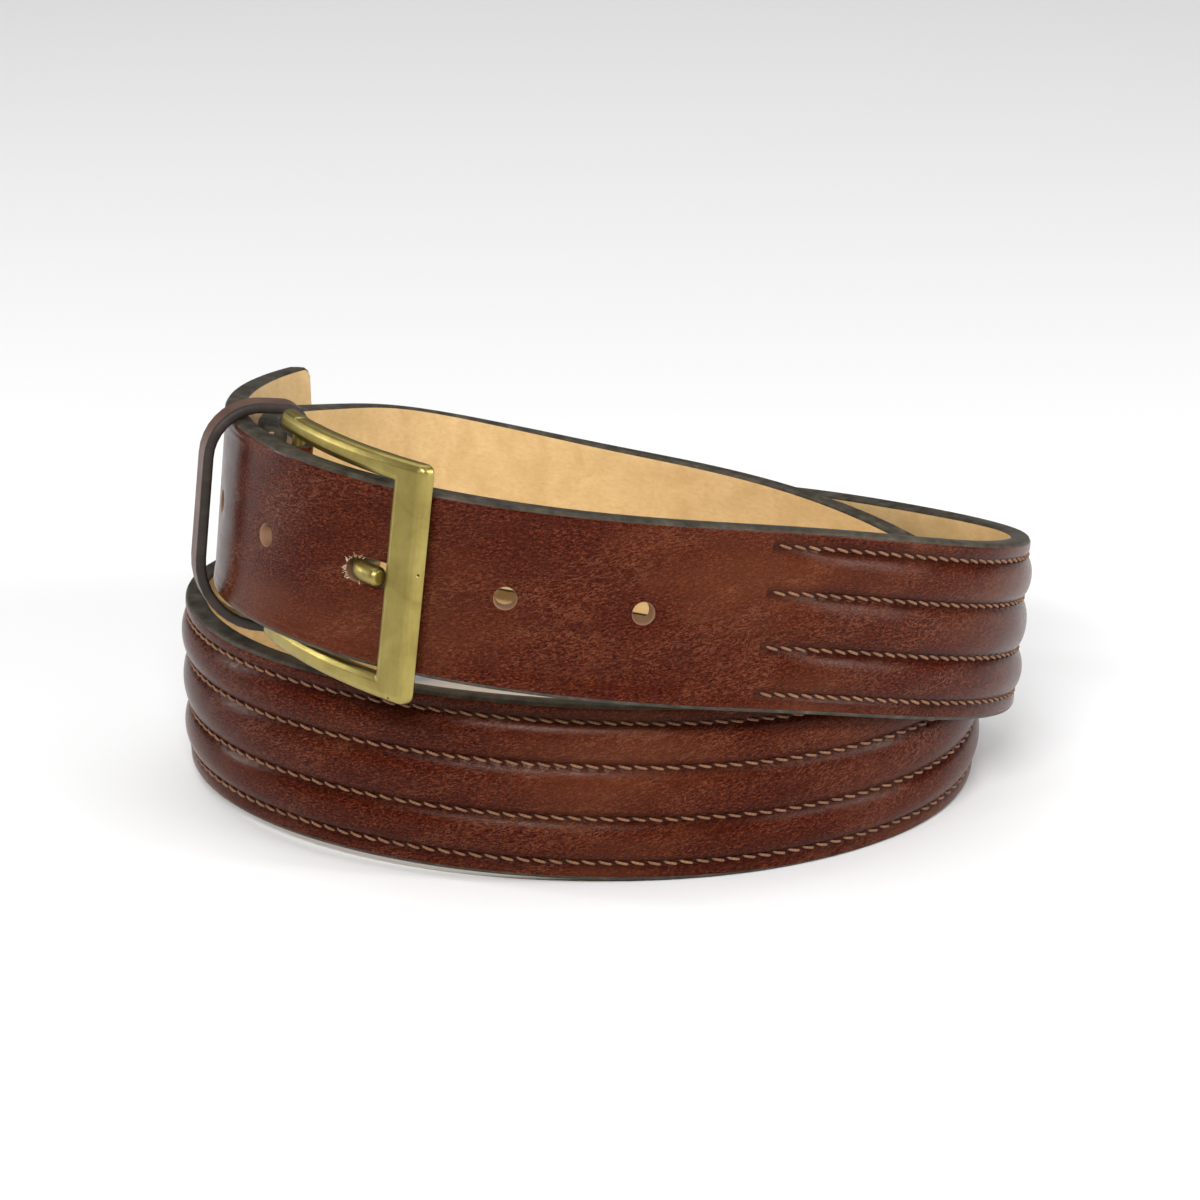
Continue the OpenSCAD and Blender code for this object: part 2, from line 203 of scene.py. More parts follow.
def node(t, kind, **values):
    n = t.nodes.new(kind)
    for key, value in values.items():
        if key in n.inputs:
            n.inputs[key].default_value = value
        else:
            setattr(n, key, value)
    return n


def feed(t, value, socket):
    """Sets a socket to a number or a colour, or links another node's output to it."""
    if isinstance(value, (int, float)):
        socket.default_value = value
    elif isinstance(value, tuple):
        socket.default_value = value if len(value) == 4 else (*value, 1)
    else:
        t.links.new(value, socket)


def mapping(t, vec, **values):
    """A vector that is turned and scaled by the named values."""
    m = node(t, "ShaderNodeMapping", **values)
    t.links.new(vec, m.inputs["Vector"])
    return m.outputs["Vector"]


def belt_uv(t, scale=(1, 1, 1)):
    """Coordinates in millimetres: along the strap, across it."""
    uv = node(t, "ShaderNodeUVMap", uv_map="belt")
    return mapping(t, uv.outputs["UV"], Scale=[k / MM for k in scale])


def turned_uv(t, degrees, scale):
    """Strap coordinates in millimetres, turned in the leather's plane and then scaled."""
    turned = mapping(t, belt_uv(t), Rotation=(0, 0, math.radians(degrees)))
    return mapping(t, turned, Scale=scale)


def object_mm(t):
    c = node(t, "ShaderNodeTexCoord")
    return mapping(t, c.outputs["Object"], Scale=[1 / MM] * 3)


def noise(t, vec, size, detail=3.0, rough=0.5, distort=0.0):
    n = node(t, "ShaderNodeTexNoise", Scale=1.0 / size, Detail=detail, Roughness=rough, Distortion=distort)
    t.links.new(vec, n.inputs["Vector"])
    return n.outputs["Fac"]


def voronoi(t, vec, size, feature="DISTANCE_TO_EDGE"):
    n = node(t, "ShaderNodeTexVoronoi", feature=feature, Scale=1.0 / size)
    t.links.new(vec, n.inputs["Vector"])
    return n.outputs["Distance"]


def ramp(t, fac, stops):
    r = node(t, "ShaderNodeValToRGB")
    e = r.color_ramp.elements
    while len(e) < len(stops):
        e.new(0.5)
    for el, (pos, col) in zip(e, stops):
        el.position = pos
        el.color = col if len(col) == 4 else (*col, 1)
    t.links.new(fac, r.inputs["Fac"])
    return r.outputs["Color"]


def grey(v):
    return (v, v, v, 1)


def darker(colour, share):
    return tuple(c * share for c in colour)


def mix(t, fac, a, b):
    """Colour a turned into colour b by the factor."""
    n = node(t, "ShaderNodeMix", data_type="RGBA", blend_type="MIX")
    for name, kind, value in (("Factor", "VALUE", fac), ("A", "RGBA", a), ("B", "RGBA", b)):
        feed(t, value, next(i for i in n.inputs if i.name == name and i.type == kind))
    return next(o for o in n.outputs if o.type == "RGBA")


def maths(t, op, a, b=0.0):
    n = node(t, "ShaderNodeMath", operation=op)
    feed(t, a, n.inputs[0])
    feed(t, b, n.inputs[1])
    return n.outputs[0]


def bump(t, b, layers):
    """Stacks (height, distance in mm, strength) layers of relief on the shader's normal."""
    last = None
    for height, distance, strength in layers:
        n = node(t, "ShaderNodeBump", Strength=strength, Distance=distance * MM)
        t.links.new(height, n.inputs["Height"])
        if last:
            t.links.new(last, n.inputs["Normal"])
        last = n.outputs["Normal"]
    t.links.new(last, b.inputs["Normal"])


def valley_shade_mask(t, reach=1.9):
    """Mask of the painted shade in the stitched valleys: 1 on the stitch rows and 0 at reach millimetres
    away, from the strap coordinates.
    """
    xyz = node(t, "ShaderNodeSeparateXYZ")
    t.links.new(belt_uv(t), xyz.inputs[0])
    along, across = xyz.outputs[0], xyz.outputs[1]
    middle, half = (OUTER_ROW + INNER_ROW) / 2, (OUTER_ROW - INNER_ROW) / 2
    d = maths(t, "ABSOLUTE", maths(t, "SUBTRACT", maths(t, "ABSOLUTE", across), middle))
    d = maths(t, "ABSOLUTE", maths(t, "SUBTRACT", d, half))
    close = maths(t, "SUBTRACT", 1.0, maths(t, "MINIMUM", maths(t, "DIVIDE", d, reach), 1.0))
    sewn = maths(t, "MULTIPLY", maths(t, "GREATER_THAN", along, RIDGE_FROM - 2),
                 maths(t, "LESS_THAN", along, RIDGE_TO + 2))
    return maths(t, "MULTIPLY", close, sewn)


# ---------------------------------------------------------------- Materials
def face_leather():
    """Polished dark red-brown leather: fine grain, slanting lighter wrinkles, and painted shade that darkens
    the stitched valleys.
    """
    m, t, b = new_material("face_leather")
    v = belt_uv(t)
    cloud = noise(t, belt_uv(t, (0.6, 1, 1)), 26, 3, 0.5, 0.3)
    patch = noise(t, belt_uv(t, (0.45, 1, 1)), 5, 4, 0.6, 0.4)
    grain = noise(t, turned_uv(t, 16, (0.55, 1.25, 1)), 0.42, 4, 0.72, 0.8)
    lines = noise(t, turned_uv(t, 20, (0.40, 1.2, 1)), 1.5, 4, 0.65, 0.8)
    line_gap = maths(t, "ABSOLUTE", maths(t, "SUBTRACT", lines, 0.5))
    wrinkle = ramp(t, line_gap, [(0.0, grey(1)), (0.030, grey(0))])
    bands = ramp(t, noise(t, turned_uv(t, 24, (0.3, 1, 1)), 9, 2, 0.5), [(0.44, grey(0)), (0.60, grey(1))])
    wrinkle = maths(t, "MULTIPLY", wrinkle, bands)
    base = ramp(t, grain, [(0.37, (0.011, 0.0013, 0.0007)),
                           (0.51, (0.050, 0.0074, 0.0030)),
                           (0.66, (0.140, 0.032, 0.012))])
    base = mix(t, ramp(t, patch, [(0.38, grey(0.45)), (0.55, grey(0))]), base, (0.034, 0.0050, 0.0026))
    base = mix(t, ramp(t, cloud, [(0.48, grey(0)), (0.68, grey(0.40))]), base, (0.120, 0.034, 0.013))
    base = mix(t, maths(t, "MULTIPLY", wrinkle, 0.38), base, (0.240, 0.085, 0.038))
    # Painted shade: the base colour is darkened beside the stitch rows, where the valleys between the ridges
    # lie in shade.
    base = mix(t, maths(t, "MULTIPLY", valley_shade_mask(t), 0.75), base, (0.014, 0.0030, 0.0018))
    t.links.new(base, b.inputs["Base Color"])
    t.links.new(ramp(t, patch, [(0.3, grey(0.19)), (0.7, grey(0.27))]), b.inputs["Roughness"])
    b.inputs["Specular IOR Level"].default_value = 0.09
    b.inputs["Specular Tint"].default_value = (1.0, 0.86, 0.76, 1)
    bump(t, b, [(grain, 0.10, 0.35), (wrinkle, 0.08, 0.30), (noise(t, v, 9, 2), 0.6, 0.12)])
    return m


def plain_leather(name, dark, light, rough, grain=0.9, relief=0.3):
    m, t, b = new_material(name)
    v = belt_uv(t)
    fac = noise(t, v, 6, 5, 0.65, 0.4)
    fine = noise(t, belt_uv(t, (0.5, 1.4, 1)), grain, 5, 0.7, 0.6)
    col = ramp(t, fac, [(0.3, dark), (0.7, light)])
    col = mix(t, ramp(t, fine, [(0.45, grey(0)), (0.7, grey(0.35))]), col, darker(dark, 0.72))
    t.links.new(col, b.inputs["Base Color"])
    b.inputs["Roughness"].default_value = rough
    b.inputs["Specular IOR Level"].default_value = 0.35
    bump(t, b, [(fine, 0.08, relief), (voronoi(t, v, 0.9), 0.05, relief * 0.6)])
    return m


def edge_paint():
    """Dark grey-brown edge dressing, slightly uneven and worn."""
    m, t, b = new_material("edge_paint")
    v = object_mm(t)
    fac = noise(t, v, 3.0, 4, 0.6, 0.3)
    col = ramp(t, fac, [(0.3, (0.022, 0.018, 0.013)),
                        (0.55, (0.052, 0.044, 0.032)),
                        (0.85, (0.110, 0.098, 0.074))])
    t.links.new(col, b.inputs["Base Color"])
    b.inputs["Roughness"].default_value = 0.48
    b.inputs["Specular IOR Level"].default_value = 0.16
    b.inputs["Specular Tint"].default_value = (1.0, 0.93, 0.82, 1)
    bump(t, b, [(noise(t, v, 0.5, 3), 0.06, 0.35), (fac, 0.25, 0.25)])
    return m


def brass():
    """Antique brass with a fine brushed grain, darker tarnish in patches and small pits."""
    m, t, b = new_material("brass")
    v = object_mm(t)
    brushed = noise(t, belt_uv(t, (0.03, 1, 1)), 0.14, 3, 0.6)
    patch = noise(t, v, 7, 4, 0.6, 0.4)
    pit = voronoi(t, v, 6.5, "F1")
    col = ramp(t, patch, [(0.28, (0.270, 0.210, 0.060)),
                          (0.52, (0.360, 0.288, 0.084)),
                          (0.8, (0.430, 0.350, 0.115))])
    col = mix(t, ramp(t, brushed, [(0.35, grey(0.30)), (0.65, grey(0))]), col, (0.20, 0.145, 0.055))
    col = mix(t, ramp(t, pit, [(0.028, grey(1)), (0.05, grey(0))]), col, (0.05, 0.035, 0.015))
    t.links.new(col, b.inputs["Base Color"])
    t.links.new(ramp(t, patch, [(0.3, grey(0.44)), (0.7, grey(0.35))]), b.inputs["Roughness"])
    b.inputs["Metallic"].default_value = 1.0
    bump(t, b, [(brushed, 0.02, 0.35), (ramp(t, pit, [(0.02, grey(0)), (0.06, grey(1))]), 0.15, 0.8)])
    return m


def thread_material():
    m, t, b = new_material("thread")
    v = belt_uv(t)
    wave = node(t, "ShaderNodeTexWave", wave_type="BANDS", bands_direction="DIAGONAL", Scale=0.75,
                Distortion=1.0)
    t.links.new(v, wave.inputs["Vector"])
    twist = wave.outputs["Fac"]
    col = ramp(t, noise(t, v, 5, 2), [(0.3, (0.15, 0.062, 0.025)), (0.7, (0.28, 0.130, 0.058))])
    col = mix(t, ramp(t, twist, [(0.2, grey(0.5)), (0.6, grey(0))]), col, (0.10, 0.042, 0.020))
    t.links.new(col, b.inputs["Base Color"])
    b.inputs["Roughness"].default_value = 0.6
    bump(t, b, [(twist, 0.12, 0.6)])
    return m


def flat_material(name, colour, rough):
    m, t, b = new_material(name)
    v = object_mm(t)
    fac = noise(t, v, 2.0, 4, 0.6)
    t.links.new(ramp(t, fac, [(0.3, darker(colour, 0.75)), (0.7, colour)]), b.inputs["Base Color"])
    b.inputs["Roughness"].default_value = rough
    bump(t, b, [(noise(t, v, 0.4, 3), 0.05, 0.4)])
    return m


FACE = face_leather()
TAN = plain_leather("lining_leather", (0.57, 0.365, 0.150), (0.70, 0.480, 0.225), 0.58)
CORE = plain_leather("core_leather", (0.30, 0.19, 0.11), (0.40, 0.27, 0.17), 0.8)
RAW = plain_leather("raw_hole_wall", (0.17, 0.085, 0.045), (0.36, 0.20, 0.11), 0.7, 0.4, 0.6)
KEEPER = plain_leather("keeper_leather", (0.060, 0.028, 0.019), (0.150, 0.080, 0.055), 0.46, 0.7, 0.3)
KEEPER_EDGE = plain_leather("keeper_edge", (0.010, 0.006, 0.004), (0.032, 0.020, 0.014), 0.5, 0.6, 0.4)
EDGE = edge_paint()
BRASS = brass()
THREAD = thread_material()
# Painted shade: a near-black colour that stands for the shade inside the needle holes.
HOLE_SHADE = flat_material("needle_hole_shade", (0.012, 0.006, 0.005), 0.9)
FIBRE = flat_material("torn_fibre", (0.60, 0.42, 0.28), 0.8)
PAD = flat_material("padding_felt", (0.55, 0.45, 0.34), 0.95)


# ---------------------------------------------------------------- Mesh building
def around(n):
    """n angles round a full turn."""
    return np.linspace(0, 2 * np.pi, n + 1)[:-1]


def quarter(cx, cy, r, start):
    """Points of a quarter turn about (cx, cy), clockwise from the angle start in degrees."""
    angles = [math.radians(start - a) for a in range(0, 91, 10)]
    return [(cx + r * math.cos(a), cy + r * math.sin(a)) for a in angles]


def read(items, name, width):
    """One property of a mesh's vertices or faces as an array with a row for each."""
    values = np.empty(len(items) * width)
    items.foreach_get(name, values)
    return values.reshape(-1, width)


def lay_uv(me, uv_mm):
    """Gives the mesh its belt coordinates, one (along, across) pair for each vertex."""
    loops = np.empty(len(me.loops), np.int32)
    me.loops.foreach_get("vertex_index", loops)
    layer = me.uv_layers.new(name="belt")
    layer.data.foreach_set("uv", (np.asarray(uv_mm, float)[loops] * MM).astype(np.float32).ravel())


def smooth_faces(me):
    me.polygons.foreach_set("use_smooth", np.ones(len(me.polygons), bool))


def make_object(name, points_mm, faces, materials, slots=None, uv=None, sharp=40):
    me = bpy.data.meshes.new(name)
    me.from_pydata((np.asarray(points_mm, float) * MM).tolist(), [], faces)
    for m in materials:
        me.materials.append(m)
    if slots is not None:
        me.polygons.foreach_set("material_index", np.asarray(slots, np.int32))
    if uv is not None:
        lay_uv(me, uv)
    smooth_faces(me)
    me.set_sharp_from_angle(angle=math.radians(sharp))
    me.update()
    ob = bpy.data.objects.new(name, me)
    bpy.context.scene.collection.objects.link(ob)
    return ob


def skin(name, grid, materials, column_slots=None, uv=None, closed_along=False, sharp=40):
    """A closed skin over grid, which is rings x points x 3. column_slots gives a material for each side."""
    m, n, _ = grid.shape
    i = np.arange(m if closed_along else m - 1)[:, None] * n
    j = np.arange(n)[None, :]
    nxt = (i + n) % (m * n)
    quads = np.stack([i + j, nxt + j, nxt + (j + 1) % n, i + (j + 1) % n], -1).reshape(-1, 4)
    faces = quads.tolist()
    slots = np.zeros(len(faces), int) if column_slots is None else np.tile(column_slots, len(i))
    if not closed_along:
        faces += [list(range(n)), list(range(m * n - 1, (m - 1) * n - 1, -1))]
        slots = np.r_[slots, [slots.max(), slots.max()]]
    return make_object(name, grid.reshape(-1, 3), faces, materials, slots, uv, sharp)


def grid_uv(along, across):
    """An (along, across) pair for each point of a grid with these rings and columns."""
    pairs = np.meshgrid(along, across, indexing="ij")
    return np.stack(pairs, -1).reshape(-1, 2)


def sweep(name, stops, section, materials, column_slots=None, sharp=40):
    """Carries section(s), an outline of (w, h) points, along the strap through all the stops."""
    outlines = np.array([section(s) for s in stops])
    s = np.repeat(np.asarray(stops, float)[:, None], outlines.shape[1], 1)
    grid = on_strap(s, outlines[:, :, 0], outlines[:, :, 1])
    uv = np.stack([s, outlines[:, :, 0]], -1).reshape(-1, 2)
    return skin(name, grid, materials, column_slots, uv, sharp=sharp)


def tube_faces(first, rings, n):
    """Faces of a closed tube of n-sided rings whose points start at first."""
    faces = []
    for i in range(rings - 1):
        for j in range(n):
            p, q = first + i * n + j, first + i * n + (j + 1) % n
            faces.append((p, p + n, q + n, q))
    last = first + (rings - 1) * n
    return faces + [tuple(first + j for j in range(n)), tuple(last + j for j in reversed(range(n)))]


def box(name, lo, hi, place):
    """A box between two corners, put where place says."""
    corners = [(x, y, z) for x in (lo[0], hi[0]) for y in (lo[1], hi[1]) for z in (lo[2], hi[2])]
    faces = [(0, 1, 3, 2), (4, 6, 7, 5), (0, 4, 5, 1), (2, 3, 7, 6), (0, 2, 6, 4), (1, 5, 7, 3)]
    return make_object(name, place(corners), faces, [])


def apply_modifiers(ob):
    graph = bpy.context.evaluated_depsgraph_get()
    graph.update()
    me = bpy.data.meshes.new_from_object(ob.evaluated_get(graph))
    old = ob.data
    ob.modifiers.clear()
    ob.data = me
    bpy.data.meshes.remove(old)


def combine(ob, tool, operation="DIFFERENCE"):
    """Cuts one closed mesh out of another, or joins it on."""
    mod = ob.modifiers.new("combine", "BOOLEAN")
    mod.operation = operation
    mod.solver = "MANIFOLD"
    mod.object = tool
    apply_modifiers(ob)


def join_meshes(name, obs):
    """Puts closed meshes without materials into one object."""
    bm = bmesh.new()
    for ob in obs:
        bm.from_mesh(ob.data)
        bpy.data.objects.remove(ob)
    me = bpy.data.meshes.new(name)
    bm.to_mesh(me)
    bm.free()
    new = bpy.data.objects.new(name, me)
    bpy.context.scene.collection.objects.link(new)
    return new


def own(ob, body, slot, *nodes):
    """Ties a piece to its body and hides the CAD nodes that it stands for. Its finish, slot, is not used."""
    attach(ob, body)
    if nodes:
        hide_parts(*nodes)
    return ob


# ---------------------------------------------------------------- The strap's section
def half_at(s):
    """Half the strap's width at s. The square tip has small round corners."""
    past = s - (STRAP_L - TIP_R)
    return HALF_W if past <= 0 else HALF_W - TIP_R + math.sqrt(max(0, TIP_R ** 2 - past ** 2))


def smooth01(x):
    x = np.clip(x, 0, 1)
    return x * x * (3 - 2 * x)


def rise(s):
    """How far the ridges have risen at s: their blunt ends swell up over a few millimetres."""
    return float(smooth01((s - RIDGE_FROM) / RIDGE_TAPER) * smooth01((RIDGE_TO - s) / RIDGE_TAPER))


def face_height(s, w):
    """Height of the strap's face: padded ridges, stitched valleys, edge creases and soft dents."""
    w = np.asarray(w, float)
    h = np.zeros_like(w)
    up = rise(s)
    for a, b in zip(ROWS, ROWS[1:]):
        x = np.abs(w - (a + b) / 2) / ((b - a) / 2 - 0.45)
        h += RIDGE_H * up * np.clip(1 - x ** 2.1, 0, None) ** 0.85 * (x < 1)
    sewn = float(smooth01((s - RIDGE_FROM + 4) / 4) * smooth01((RIDGE_TO + 4 - s) / 4))
    pinch = 0.5 + 0.5 * math.cos(2 * math.pi * s / STITCH_PITCH)
    for row in ROWS:
        h -= sewn * (VALLEY_DEEP + VALLEY_PINCH * pinch) * np.exp(-((w - row) / VALLEY_W) ** 2)
    h -= (1 - up) * CREASE_DEEP * np.exp(-((np.abs(w) - CREASE_AT) / CREASE_W) ** 2)
    margin = np.clip(np.abs(w) - OUTER_ROW, 0, None) / (HALF_W - OUTER_ROW)
    h += EDGE_SWELL * np.sin(np.pi * np.clip(margin, 0, 1)) * (np.abs(w) > OUTER_ROW)
    for hole in HOLES:
        h -= DENT_DEEP * np.exp(-((s - hole) ** 2 + w ** 2) / 11.0)
    return h


def across_samples():
    """Places across the strap where the face is sampled, closer together beside the stitch rows."""
    w = [np.linspace(-0.92, 0.92, 4) + row for row in ROWS]
    w += [np.linspace(a + 1.6, b - 1.6, 9) for a, b in zip(ROWS, ROWS[1:])]
    edge = HALF_W - EDGE_ROUND
    crease = CREASE_AT + np.array([-0.3, 0.0, 0.3, 0.8])
    w += [crease, -crease, np.array([-edge, edge])]
    return np.sort(np.unique(np.round(np.concatenate(w), 4)))


ACROSS = across_samples()
FACE_UNDER_N, FLAT_N, LINING_UNDER_N = 9, 6, 12


def face_section(s):
    """Outline of the face leather: its top, one rounded edge, its underside and the other edge."""
    k = half_at(s)
    top = np.stack([ACROSS * k / HALF_W, face_height(s, ACROSS)], 1)
    edge = [(k - EDGE_ROUND * (1 - math.sin(a)), -EDGE_ROUND * (1 - math.cos(a)) * 0.8) for a in ROUND]
    edge += [(k, -FACE_T)]
    under = [(x, -FACE_T) for x in np.linspace(k - 0.6, -k + 0.6, FACE_UNDER_N)]
    other_edge = [(-x, y) for x, y in reversed(edge)]
    return np.array(top.tolist() + edge + under + other_edge)


def face_slots():
    """Face leather on top, edge paint on the edges and raw leather below."""
    top, edge = len(ACROSS) - 1, len(ROUND) + 1
    return np.array([0] * top + [1] * (edge + 1) + [2] * FACE_UNDER_N + [1] * edge)


def core_section(s):
    k, top, low, bulge = half_at(s), -FACE_T, -FACE_T - CORE_T, 0.04
    w = np.linspace(-k, k, FLAT_N)
    middle = (top + low) / 2
    return np.array([(x, top) for x in w] + [(k + bulge, middle)]
                    + [(x, low) for x in w[::-1]] + [(-k - bulge, middle)])


def lining_section(s):
    k, top, r = half_at(s), -FACE_T - CORE_T, LINING_ROUND
    edge = [(k - r + r * math.cos(a), -STRAP_T + r * (1 - math.sin(a))) for a in ROUND]
    under = [(x, -STRAP_T) for x in np.linspace(k - r - 1, -k + r + 1, LINING_UNDER_N)]
    other_edge = [(-x, y) for x, y in reversed(edge)]
    return np.array([(x, top) for x in np.linspace(-k, k, FLAT_N)] + edge + under + other_edge)


def lining_slots():
    """Edge paint on the hidden top and most of the way round both edges, tan leather below."""
    edge = len(ROUND)
    return np.array([1] * (FLAT_N + edge - 1) + [0] * (LINING_UNDER_N + 1) + [1] * edge)


def strap_stops():
    """Where the layers' sections stand: four to a stitch, then round the corners of the tip."""
    body = np.arange(TURN_FROM, STRAP_L - TIP_R, STITCH_PITCH / 4)
    tip = [STRAP_L - TIP_R + TIP_R * math.sin(a) for a in np.linspace(0, math.pi / 2 * 0.98, 7)]
    return np.r_[body, tip]


# ---------------------------------------------------------------- Punched holes
def is_worn(number):
    """The middle hole, which the prong has stretched, out of all the holes."""
    return number == HOLE_N // 2


def hole_cutter():
    """One mesh of all the punched holes. Each flares a little at the face, and the prong's is long."""
    flares = [(3, 0.55), (-0.05, 0.30), (-0.45, 0.06), (-1.2, 0.0),
              (-STRAP_T + 0.3, 0.0), (-STRAP_T - 0.2, 0.2), (-STRAP_T - 3, 0.4)]
    a = around(40)
    cutters = []
    for number, s in enumerate(HOLES):
        worn = is_worn(number)
        rings = []
        for h, flare in flares:
            r = (WORN_D if worn else HOLE_D) / 2 + flare
            r = r * (1 + (0.05 if worn else 0.015) * np.sin(3 * a + 1.3) * (flare > 0.1))
            y = r * np.sin(a)
            if worn:
                y = y + np.where(np.sin(a) > 0, PRONG_SLOT[0], -PRONG_SLOT[1])
            rings.append(np.stack([r * np.cos(a), y, np.full_like(a, h)], 1))
        cutters.append(skin("cutter%d" % number, from_axes(axes_at(s), rings), []))
    return join_meshes("hole_cutter", cutters)


def mark_hole_walls(ob, slot):
    """Gives the walls of the holes their own material."""
    me = ob.data
    centre, normal = read(me.polygons, "center", 3), read(me.polygons, "normal", 3)
    index = np.empty(len(me.polygons), np.int32)
    me.polygons.foreach_get("material_index", index)
    for number, s in enumerate(HOLES):
        m = np.array(axes_at(s))
        across, along, out = ((centre - m[:3, 3]) @ m[:3, :3] / MM).T
        radius = HOLE_D / 2
        if is_worn(number):
            radius = WORN_D / 2
            along = along - np.clip(along, -PRONG_SLOT[1], PRONG_SLOT[0])
        near = (np.hypot(across, along) < radius + 0.7) & (np.abs(out) < 6)
        steep = np.abs(normal @ m[:3, 2]) < 0.8
        index[near & steep] = slot
    me.polygons.foreach_set("material_index", index)
    me.set_sharp_from_angle(angle=math.radians(35))


CUTTER = hole_cutter()


# ---------------------------------------------------------------- The strap's layers and stitches
def strap_layers():
    stops = strap_stops()
    face = sweep("Face_leather", stops, face_section, [FACE, EDGE, CORE], face_slots(), 50)
    core = sweep("Core_leather", stops[::3], core_section, [EDGE], None, 50)
    lining = sweep("Tan_lining", stops[::2], lining_section, [TAN, EDGE], lining_slots(), 50)
    for ob, finish, cad in ((face, "face_leather", "strap_face"), (core, "core_leather", "strap_core"),
                            (lining, "lining_leather", "strap_lining")):
        combine(ob, CUTTER)
        ob.data.materials.append(RAW)
        mark_hole_walls(ob, len(ob.data.materials) - 1)
        own(ob, "strap", finish, cad)


def ridge_pads():
    """Felt under each ridge, a little below the face leather's inner side."""
    for name, a, b in zip(("lower", "middle", "upper"), ROWS, ROWS[1:]):
        w = np.linspace(a + 1.4, b - 1.4, 12)

        def section(s, w=w):
            top = np.maximum(face_height(s, w) - FACE_T - 0.05, -FACE_T + 0.02)
            return np.array(list(zip(w, top)) + [(x, -FACE_T) for x in w[::-1]])
        ob = sweep("Ridge_pad_" + name, np.arange(RIDGE_FROM + 1, RIDGE_TO - 1, 3.0), section, [PAD])
        own(ob, "strap", "padding", "ridge_pad_" + name)


def sewn_places(shift):
    """Distances of a row's stitches, or of its needle holes when shift is 0, in whole pitches."""
    first = math.ceil((RIDGE_FROM - 2) / STITCH_PITCH) + shift
    count = int((RIDGE_TO + 3 - first * STITCH_PITCH) / STITCH_PITCH)
    return [(first + k) * STITCH_PITCH for k in range(count)]


def stitch_thickness(x, radius):
    """Radius of a stitch at x, which goes from -1 to 1 along it. Its ends close quickly."""
    return radius * np.sqrt(np.clip(1 - x ** 8, 0.02, 1))


def stitch_row(row, name, cad):
    """Separate slanted stitches, each dipping at both ends into a needle hole whose dark colour is painted
    shade.
    """
    ring_n, along_n = 8, 9
    a, x = around(ring_n), np.linspace(-1, 1, along_n)
    points, faces, uvs = [], [], []
    rng = np.random.default_rng(7)
    for k, s0 in enumerate(sewn_places(0.5)):
        wobble = rng.normal(0, 0.03, 3)
        r = stitch_thickness(x, THREAD_R) * (1 - 0.12 * x ** 2)
        s = s0 + x * STITCH_HALF + wobble[0]
        w = row + STITCH_SLANT * x + wobble[1]
        h = 0.10 - 0.36 * np.abs(x) ** 3 + wobble[2]
        ring_w = w[:, None] + r[:, None] * np.cos(a)
        ring_h = h[:, None] + 0.85 * r[:, None] * np.sin(a)
        ring_s = np.repeat(s[:, None], ring_n, 1)
        points.append(on_strap(ring_s, ring_w, ring_h).reshape(-1, 3))
        uvs.append(np.stack([ring_s, ring_w + ring_h], -1).reshape(-1, 2))
        faces += tube_faces(k * ring_n * along_n, along_n, ring_n)
    ob = make_object(name, np.concatenate(points), faces, [THREAD], None, np.concatenate(uvs), 60)
    return own(ob, "strap", "thread", cad)


def needle_holes(row, name):
    """Needle holes between the stitches of one row, as small tapered plugs in the face whose near-black
    colour is painted shade of the holes.
    """
    n = 8
    a = around(n)
    points, faces = [], []
    for k, s0 in enumerate(sewn_places(0)):
        for r, h in ((0.40, 0.0), (0.30, -0.35)):
            s = s0 + 1.25 * r * np.cos(a)
            w = row + r * np.sin(a)
            points.append(on_strap(s, w, h + face_height(s0, w) + 0.03))
        points.append(on_strap(np.array([s0]), [row], [face_height(s0, row) + 0.05]))
        rim = k * (2 * n + 1)
        low, middle = rim + n, rim + 2 * n
        faces += [(rim + j, rim + (j + 1) % n, middle) for j in range(n)]
        faces += [(rim + (j + 1) % n, rim + j, low + j, low + (j + 1) % n) for j in range(n)]
        faces.append(tuple(low + j for j in range(n)))
    ob = make_object(name, np.concatenate(points), faces, [HOLE_SHADE], None, None, 60)
    return own(ob, "strap", "thread")


def torn_fibres():
    """Light leather fibres that stand out round the worn hole that the prong has stretched."""
    rng = np.random.default_rng(3)
    n = 4
    a = around(n)
    points, faces = [], []
    for _ in range(22):
        angle = rng.uniform(-0.5, 3.6)
        r0 = HOLE_D / 2 + rng.uniform(0.15, 0.45)
        y0 = PRONG_SLOT[0] + r0 * math.sin(angle)
        x0 = r0 * math.cos(angle)
        length = rng.uniform(0.4, 1.1)
        turn = angle + rng.normal(0, 0.7)
        first = len(points) * n
        for ring, f in enumerate((0, 0.5, 1.0)):
            x, y = x0 + f * length * math.cos(turn), y0 + f * length * math.sin(turn)
            h = face_height(HOLE_MID + y, x) + 0.02 + 0.25 * f * rng.uniform(0.4, 1.0)
            r = 0.085 * (1 - 0.7 * f)
            points.append(on_strap(HOLE_MID + y + r * np.cos(a), x + r * np.cos(a + 1.5), h + r * np.sin(a)))
            if ring:
                p = first + (ring - 1) * n
                faces += [(p + j, p + (j + 1) % n, p + n + (j + 1) % n, p + n + j) for j in range(n)]
        faces += [tuple(first + j for j in reversed(range(n))), tuple(first + 2 * n + j for j in range(n))]
    ob = make_object("Torn_fibres", np.concatenate(points), faces, [FIBRE])
    return own(ob, "strap", "lining_leather")


# ---------------------------------------------------------------- The turned end at the heel bar
TURNED_HALF, TURNED_N = (STRAP_W - 1) / 2, 24
SIDE_DEPTHS = np.array([0.2, 0.41, 0.8])


def turned_ring(place):
    """A ring of points round the thin leather. place(w, depth) puts them, depth 0 outside and 1 inside."""
    w = np.linspace(-TURNED_HALF, TURNED_HALF, TURNED_N)
    side = np.full(len(SIDE_DEPTHS), TURNED_HALF + 0.12)
    return np.concatenate([place(w, np.zeros(TURNED_N)), place(side, SIDE_DEPTHS),
                           place(w[::-1], np.ones(TURNED_N)), place(-side, 1 - SIDE_DEPTHS)])


